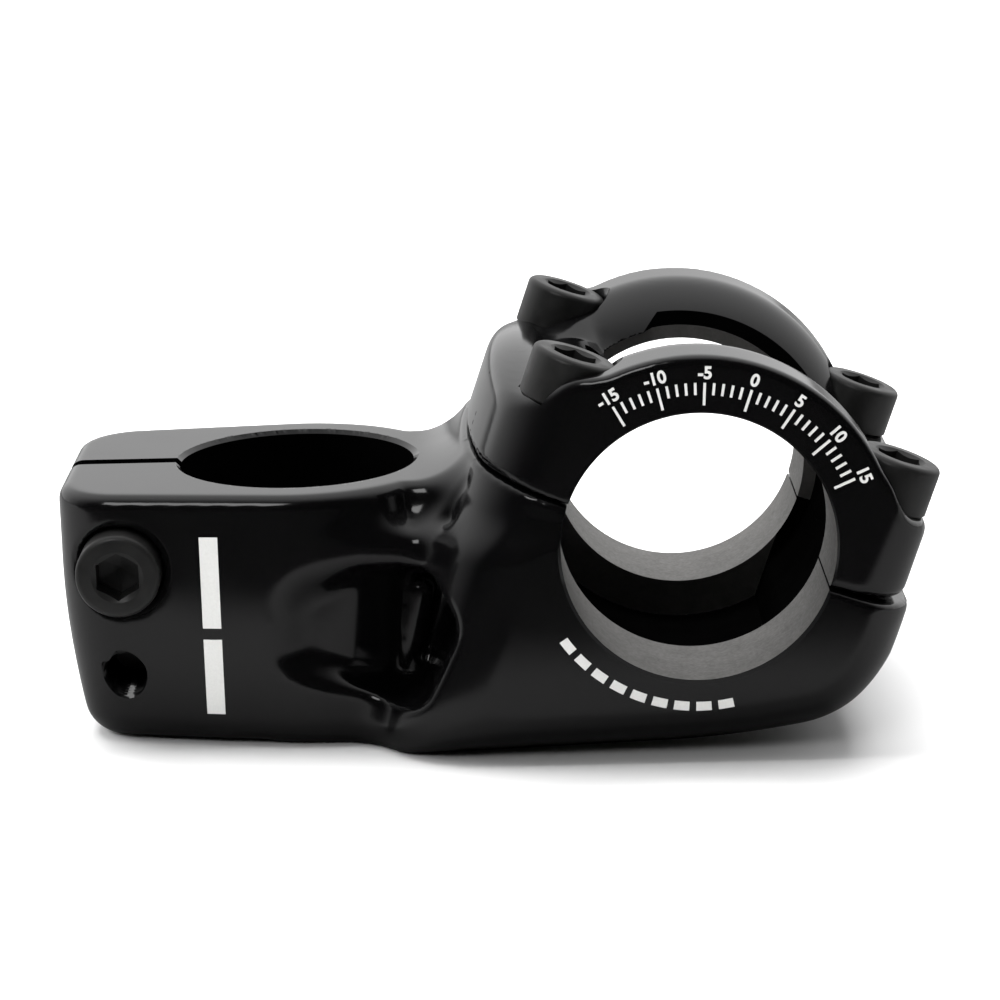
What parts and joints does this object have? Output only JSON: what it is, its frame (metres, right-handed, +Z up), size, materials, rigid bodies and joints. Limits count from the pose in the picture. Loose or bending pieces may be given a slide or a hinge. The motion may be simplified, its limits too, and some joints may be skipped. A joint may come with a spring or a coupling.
{
  "type": "handlebar stem",
  "caption": "Top-load bicycle stem: split steerer clamp, short neck and a handlebar clamp with a one-piece windowed cap held by socket-head bolts.",
  "frame": {"origin": "steerer axis where it meets the flat underside of the steerer clamp", "axes": "+Z up the steerer axis, +X towards the handlebar clamp, Y along the handlebar"},
  "size_m": [0.104, 0.055, 0.049],
  "materials": {
    "body": "gloss black anodised over polished forged alloy",
    "cap": "gloss black anodised over polished forged alloy",
    "bolts": "satin black oxide steel"
  },
  "bodies": {
    "stem_body": {"stem_body": "body"},
    "top_cap": {"top_cap": "cap"},
    "cap_bolt_rear_near": {"cap_bolt_rear_near": "bolts"},
    "cap_bolt_rear_far": {"cap_bolt_rear_far": "bolts"},
    "cap_bolt_front_near": {"cap_bolt_front_near": "bolts"},
    "cap_bolt_front_far": {"cap_bolt_front_far": "bolts"},
    "pinch_bolt_upper": {"pinch_bolt_upper": "bolts"},
    "pinch_bolt_lower": {"pinch_bolt_lower": "bolts"}
  },
  "joints": [
    {"name": "cap_lift", "type": "slide", "parent": "stem_body", "child": "top_cap", "axis": [0.3256, 0, 0.9455], "range_m": [0, 0.03]},
    {"name": "bolt_rear_near_out", "type": "slide", "parent": "top_cap", "child": "cap_bolt_rear_near", "axis": [0.3256, 0, 0.9455], "range_m": [0, 0.024]},
    {"name": "bolt_rear_far_out", "type": "slide", "parent": "top_cap", "child": "cap_bolt_rear_far", "axis": [0.3256, 0, 0.9455], "range_m": [0, 0.024]},
    {"name": "bolt_front_near_out", "type": "slide", "parent": "top_cap", "child": "cap_bolt_front_near", "axis": [0.3256, 0, 0.9455], "range_m": [0, 0.024]},
    {"name": "bolt_front_far_out", "type": "slide", "parent": "top_cap", "child": "cap_bolt_front_far", "axis": [0.3256, 0, 0.9455], "range_m": [0, 0.024]},
    {"name": "pinch_upper_out", "type": "slide", "parent": "stem_body", "child": "pinch_bolt_upper", "axis": [0, -1, 0], "range_m": [0, 0.024]},
    {"name": "pinch_lower_out", "type": "slide", "parent": "stem_body", "child": "pinch_bolt_lower", "axis": [0, 1, 0], "range_m": [0, 0.024]}
  ]
}
